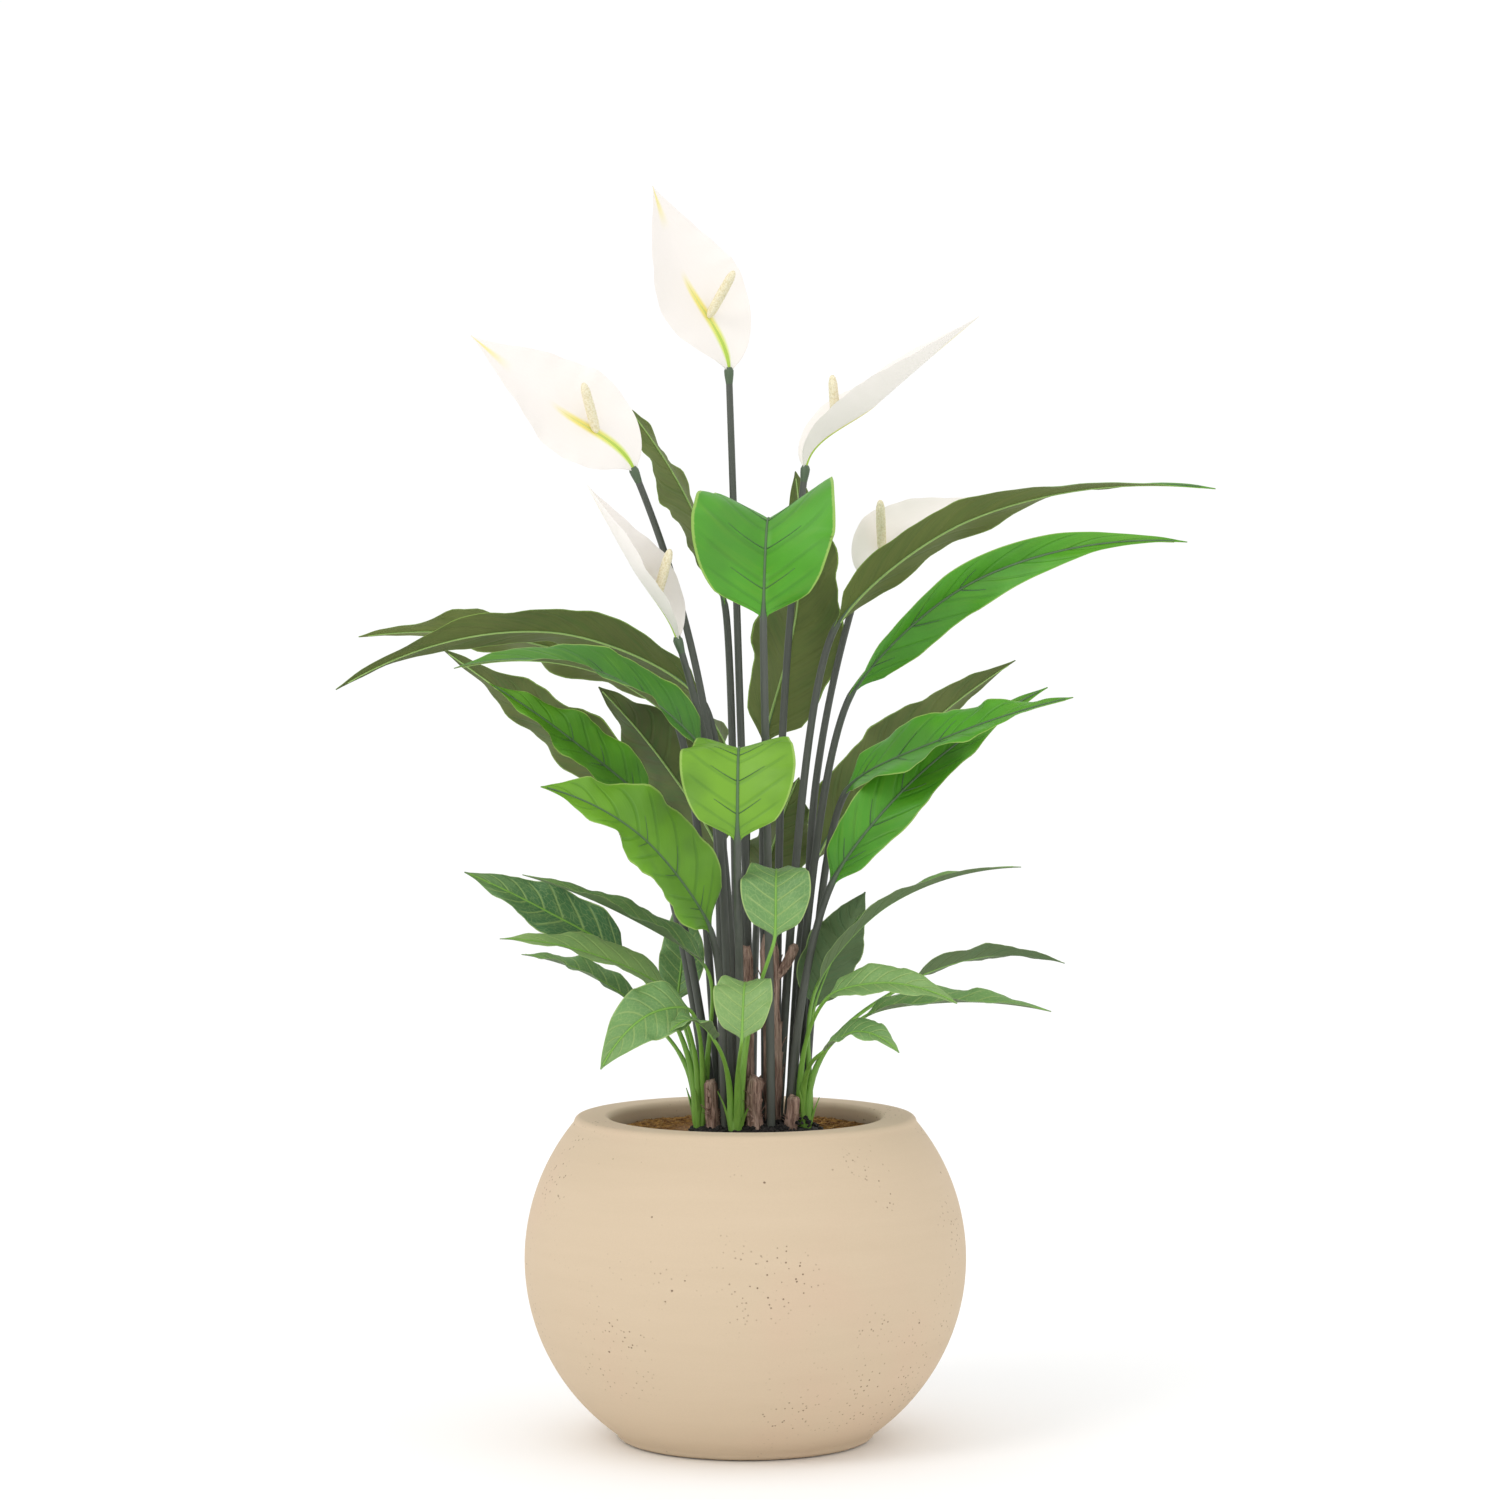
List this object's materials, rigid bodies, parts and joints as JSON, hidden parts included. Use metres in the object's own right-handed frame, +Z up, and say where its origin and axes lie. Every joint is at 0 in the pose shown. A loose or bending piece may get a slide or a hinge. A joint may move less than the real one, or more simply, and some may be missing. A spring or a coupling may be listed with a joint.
{
  "type": "potted artificial plant",
  "caption": "Artificial peace lily with long arching leaves, small leaf sprigs and white hooded flowers on a weighted plug in a globe planter.",
  "frame": {"origin": "centre of the planter's flat base", "axes": "+Z up, -Y towards the front, +X to the right as seen from the front"},
  "size_m": [0.7856, 0.3998, 1.1323],
  "materials": {
    "sandstone": "matt, slightly gritty, with small dark pits",
    "coir": "matt pressed fibre",
    "black_pot_plastic": "matt",
    "plug_black": "matt, lumpy",
    "bark": "rough, peeling",
    "light_green_plastic": "satin",
    "leaf_green": "coated fabric, satin on the upper side and matt below",
    "small_leaf_fabric": "printed woven fabric, matt",
    "stem_plastic": "satin",
    "spathe_white": "matt fabric",
    "spadix_cream": "matt, granular"
  },
  "bodies": {
    "root": {"planter": "sandstone", "filler_disc": "coir", "inner_pot": "black_pot_plastic", "plug": "plug_black", "cane_tall": "bark", "cane_forked": "bark", "cane_front": "bark", "cane_left": "bark", "cane_right": "bark", "sheath_left": "light_green_plastic", "sheath_centre": "light_green_plastic", "sheath_right": "light_green_plastic", "leaf_a": "leaf_green", "leaf_b": "leaf_green", "leaf_c": "leaf_green", "leaf_d": "leaf_green", "leaf_e": "leaf_green", "leaf_f": "leaf_green", "leaf_g": "leaf_green", "leaf_h": "leaf_green", "leaf_i": "leaf_green", "leaf_j": "leaf_green", "leaf_k": "leaf_green", "leaf_l": "leaf_green", "leaf_m": "leaf_green", "leaf_n": "leaf_green", "leaf_o": "leaf_green", "leaf_p": "leaf_green", "leaf_q": "leaf_green", "leaf_r": "leaf_green", "sprig_a": "small_leaf_fabric", "sprig_b": "small_leaf_fabric", "sprig_c": "small_leaf_fabric", "sprig_d": "small_leaf_fabric", "sprig_e": "small_leaf_fabric", "sprig_f": "small_leaf_fabric", "sprig_g": "small_leaf_fabric", "sprig_h": "small_leaf_fabric", "sprig_i": "small_leaf_fabric", "sprig_j": "small_leaf_fabric", "sprig_k": "small_leaf_fabric", "sprig_l": "small_leaf_fabric", "sprig_m": "small_leaf_fabric", "sprig_n": "small_leaf_fabric", "sprig_o": "small_leaf_fabric", "stem_1": "stem_plastic", "spathe_1": "spathe_white", "spadix_1": "spadix_cream", "stem_2": "stem_plastic", "spathe_2": "spathe_white", "spadix_2": "spadix_cream", "stem_3": "stem_plastic", "spathe_3": "spathe_white", "spadix_3": "spadix_cream", "stem_4": "stem_plastic", "spathe_4": "spathe_white", "spadix_4": "spadix_cream", "stem_5": "stem_plastic", "spathe_5": "spathe_white", "spadix_5": "spadix_cream"}
  },
  "joints": []
}
